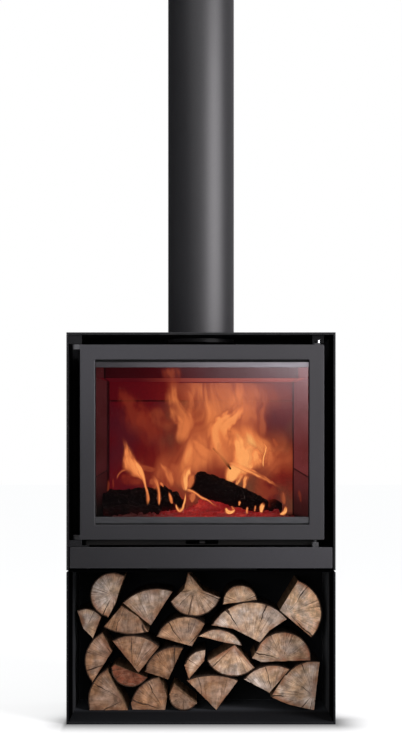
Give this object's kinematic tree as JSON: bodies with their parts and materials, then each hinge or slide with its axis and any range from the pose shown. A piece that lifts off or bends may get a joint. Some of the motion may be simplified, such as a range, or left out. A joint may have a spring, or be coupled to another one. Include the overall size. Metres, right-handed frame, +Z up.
{
  "type": "wood stove",
  "caption": "Free-standing wood stove: square steel casing with a hinged glass door and ash drawer, on an open log-store base of split firewood, with a straight flue pipe.",
  "frame": {"origin": "on the floor, under the middle of the stove", "axes": "+Z up along the flue pipe, front faces -Y, +X to the right when looking at the door"},
  "size_m": [0.64, 0.45, 1.89],
  "materials": {
    "casing_paint": "matt black stove paint with a fine grain",
    "front_paint": "satin dark grey stove paint",
    "flue_paint": "satin dark grey stove paint",
    "firebox_steel": "matt heat-blackened steel",
    "hinge_steel": "satin dark grey",
    "bright_steel": "turned bright steel",
    "glass_strip": "satin steel, darkened by smoke",
    "door_glass": "clear ceramic glass with a warm tint",
    "rope_seal": "woven glass-fibre rope, grey with soot",
    "firebrick": "pressed vermiculite brick, matt and sooty",
    "cast_iron": "rough cast iron",
    "firewood": "dry split birch with cracked ends and dark bark"
  },
  "bodies": {
    "root": {"base_floor": "casing_paint", "base_left_side": "casing_paint", "base_right_side": "casing_paint", "base_back": "casing_paint", "casing_bottom": "casing_paint", "casing_left_side": "casing_paint", "casing_right_side": "casing_paint", "casing_top": "casing_paint", "casing_back": "casing_paint", "firebox_bottom": "firebox_steel", "firebox_left_wall": "firebox_steel", "firebox_right_wall": "firebox_steel", "firebox_back_wall": "firebox_steel", "firebox_top": "firebox_steel", "firebox_front_frame": "firebox_steel", "flue_collar": "firebox_steel", "latch_catch": "firebox_steel", "hearth_brick": "firebrick", "lining_left": "firebrick", "lining_right": "firebrick", "lining_back_lower": "firebrick", "lining_back_upper": "firebrick", "smoke_baffle": "firebrick", "fire_grate": "cast_iron", "upper_hinge_bracket": "hinge_steel", "lower_hinge_bracket": "hinge_steel", "flue_pipe": "flue_paint", "log_01": "firewood", "log_02": "firewood", "log_03": "firewood", "log_04": "firewood", "log_05": "firewood", "log_06": "firewood", "log_07": "firewood", "log_08": "firewood", "log_09": "firewood", "log_10": "firewood", "log_11": "firewood", "log_12": "firewood", "log_13": "firewood", "log_14": "firewood", "log_15": "firewood", "log_16": "firewood", "log_17": "firewood", "log_18": "firewood", "log_19": "firewood", "log_20": "firewood", "log_21": "firewood", "log_22": "firewood", "log_23": "firewood"},
    "door": {"door_frame": "front_paint", "door_glass": "door_glass", "door_seal": "rope_seal", "glass_top_strip": "glass_strip", "glass_bottom_strip": "glass_strip"},
    "latch": {"latch_shaft": "hinge_steel", "latch_roller": "bright_steel"},
    "drawer": {"drawer_front": "front_paint", "ash_pan": "firebox_steel"},
    "air_control": {"air_slide": "firebox_steel"}
  },
  "joints": [
    {"name": "door_swing", "type": "hinge", "parent": "root", "child": "door", "pos_m": [-0.3, -0.211, 0.671], "axis": [0, 0, -1], "range_deg": [0, 105]},
    {"name": "latch_turn", "type": "hinge", "parent": "door", "child": "latch", "pos_m": [0.272, -0.205, 0.671], "axis": [0, 0, -1], "range_deg": [0, 40]},
    {"name": "drawer_slide", "type": "slide", "parent": "root", "child": "drawer", "axis": [0, -1, 0], "range_m": [0, 0.25]},
    {"name": "air_slide", "type": "slide", "parent": "root", "child": "air_control", "axis": [1, 0, 0], "range_m": [-0.03, 0.03]}
  ]
}
